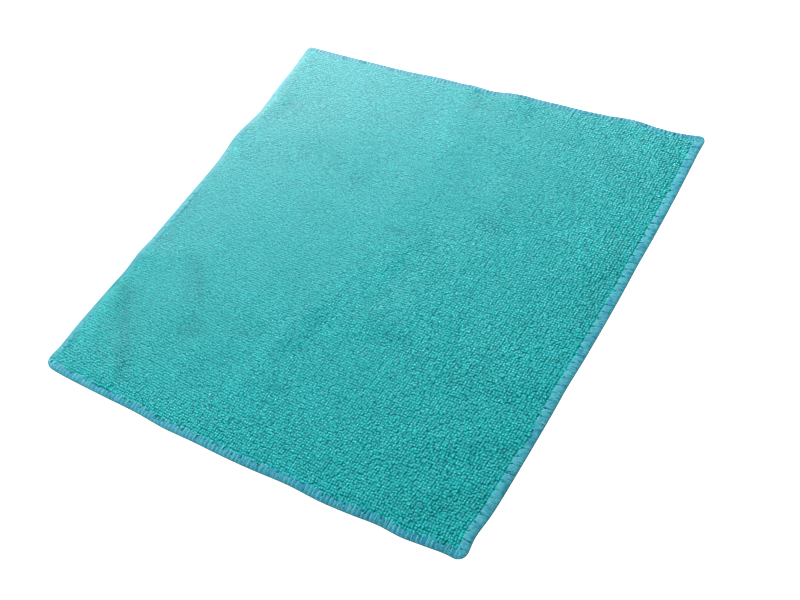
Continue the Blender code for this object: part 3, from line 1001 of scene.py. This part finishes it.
class SCENE_OT_cloth_stage(bpy.types.Operator):
    """Sets the pale floor, the soft lights and the camera at the photograph's angle"""

    bl_idname = "scene.cloth_stage"
    bl_label = "Stage"

    def execute(self, context):
        stage = context.scene.cloth_stage
        self.lay_floor(context, stage)
        self.light(context, stage)
        self.place_camera(context, stage)
        context.scene.view_settings.view_transform = "Standard"
        return {"FINISHED"}

    def lay_floor(self, context, stage):
        """A pale square floor that glows a little, so that no shadow shows."""
        reach = 4.0
        points = np.array(((-reach, -reach, 0), (reach, -reach, 0), (reach, reach, 0), (-reach, reach, 0)))
        mesh = mesh_of("floor", points, np.array(((0, 1, 2, 3),)))
        finish = Finish("pale_floor")
        place = finish.node("ShaderNodeTexCoord", output="Object")
        grain = finish.noise(place, 30.0, 2.0)
        colour = finish.mix(grain * 0.1, rgba(stage.floor), (1.0, 1.0, 1.0, 1.0))
        finish.set(
            Base_Color=colour,
            Roughness=0.9,
            Emission_Color=(1.0, 1.0, 1.0, 1.0),
            Emission_Strength=stage.floor_glow,
        )
        mesh.materials.append(finish.material)
        floor = bpy.data.objects.new("floor", mesh)
        context.scene.collection.objects.link(floor)

    def light(self, context, stage):
        """The lamps, of which two don't show in gloss and the third shows only there, and an even fill."""
        for name, power in (("key_light", stage.key_power), ("front_light", stage.front_power)):
            self.soft_light(context, name, power).visible_glossy = False
        gloss = self.soft_light(context, "gloss_light", stage.gloss_power)
        gloss.data.spread = math.radians(70)
        gloss.visible_diffuse = False
        gloss.visible_camera = False
        world = bpy.data.worlds.new("even_light")
        world.use_nodes = True
        background = world.node_tree.nodes["Background"]
        background.inputs["Color"].default_value = (1.0, 1.0, 1.0, 1.0)
        background.inputs["Strength"].default_value = stage.fill
        world.cycles_visibility.glossy = False
        context.scene.world = world

    def soft_light(self, context, name, power):
        """Adds one of the lamps, with this power."""
        lamp = LAMPS[name]
        data = bpy.data.lights.new(name, "AREA")
        data.shape = "RECTANGLE"
        data.size, data.size_y = lamp.width, lamp.height
        data.energy = power
        light = bpy.data.objects.new(name, data)
        light.location = towards(lamp.azimuth, lamp.elevation) * lamp.distance
        light.rotation_euler = towards(lamp.azimuth, lamp.tilt).to_track_quat("Z", "Y").to_euler()
        context.scene.collection.objects.link(light)
        return light

    def place_camera(self, context, stage):
        """The camera stands at this distance from its aim on the table, turned and rolled as the photo."""
        aim = Vector((33.7 * MM, -22.1 * MM, 0))
        distance = 655.8 * MM
        azimuth, elevation, roll = (math.radians(angle) for angle in (48.506, 49.385, -21.576))
        turn = (
            Matrix.Rotation(azimuth, 4, "Z")
            @ Matrix.Rotation(math.pi / 2 - elevation, 4, "X")
            @ Matrix.Rotation(roll, 4, "Z")
        )
        lens = bpy.data.cameras.new("camera")
        lens.sensor_width = 36.0
        lens.lens = stage.lens
        lens.clip_start = 0.01
        camera = bpy.data.objects.new("camera", lens)
        camera.matrix_world = Matrix.Translation(aim) @ turn @ Matrix.Translation((0, 0, distance))
        context.scene.collection.objects.link(camera)
        context.scene.camera = camera


OPERATORS = (
    OBJECT_OT_terry_ground,
    OBJECT_OT_terry_pile,
    OBJECT_OT_terry_overlock,
    OBJECT_OT_terry_declare,
    SCENE_OT_cloth_stage,
)


class VIEW3D_PT_terry_cloth(bpy.types.Panel):
    """Lists the cloth's settings and the steps that build it"""

    bl_label = "Terry cloth"
    bl_idname = "VIEW3D_PT_terry_cloth"
    bl_space_type = "VIEW_3D"
    bl_region_type = "UI"
    bl_category = "Cloth"

    def draw(self, context):
        """Shows every setting of each group, then a button for each step."""
        for name in GROUPS:
            box = self.layout.box()
            group = getattr(context.scene, name)
            for field in group.bl_rna.properties:
                if field.identifier not in ("rna_type", "name"):
                    box.prop(group, field.identifier)
        for operator in OPERATORS:
            self.layout.operator(operator.bl_idname)


GROUPS = {
    "cloth_sizes": ClothSizes,
    "cloth_pile": PileSettings,
    "cloth_hem": HemSettings,
    "cloth_stage": StageSettings,
}


def register():
    """Registers the classes and hangs the settings on the scene."""
    for kind in (*GROUPS.values(), *OPERATORS, VIEW3D_PT_terry_cloth):
        bpy.utils.register_class(kind)
    for name, group in GROUPS.items():
        setattr(bpy.types.Scene, name, bpy.props.PointerProperty(type=group))


def unregister():
    """Takes the settings off the scene and unregisters the classes."""
    for name in GROUPS:
        delattr(bpy.types.Scene, name)
    for kind in (VIEW3D_PT_terry_cloth, *reversed(OPERATORS), *reversed(GROUPS.values())):
        bpy.utils.unregister_class(kind)


def main():
    """Builds the cloth and its stage step by step."""
    register()
    bpy.ops.object.terry_ground()
    bpy.ops.object.terry_pile()
    bpy.ops.object.terry_overlock()
    bpy.ops.object.terry_declare()
    bpy.ops.scene.cloth_stage()


if __name__ == "__main__":
    main()
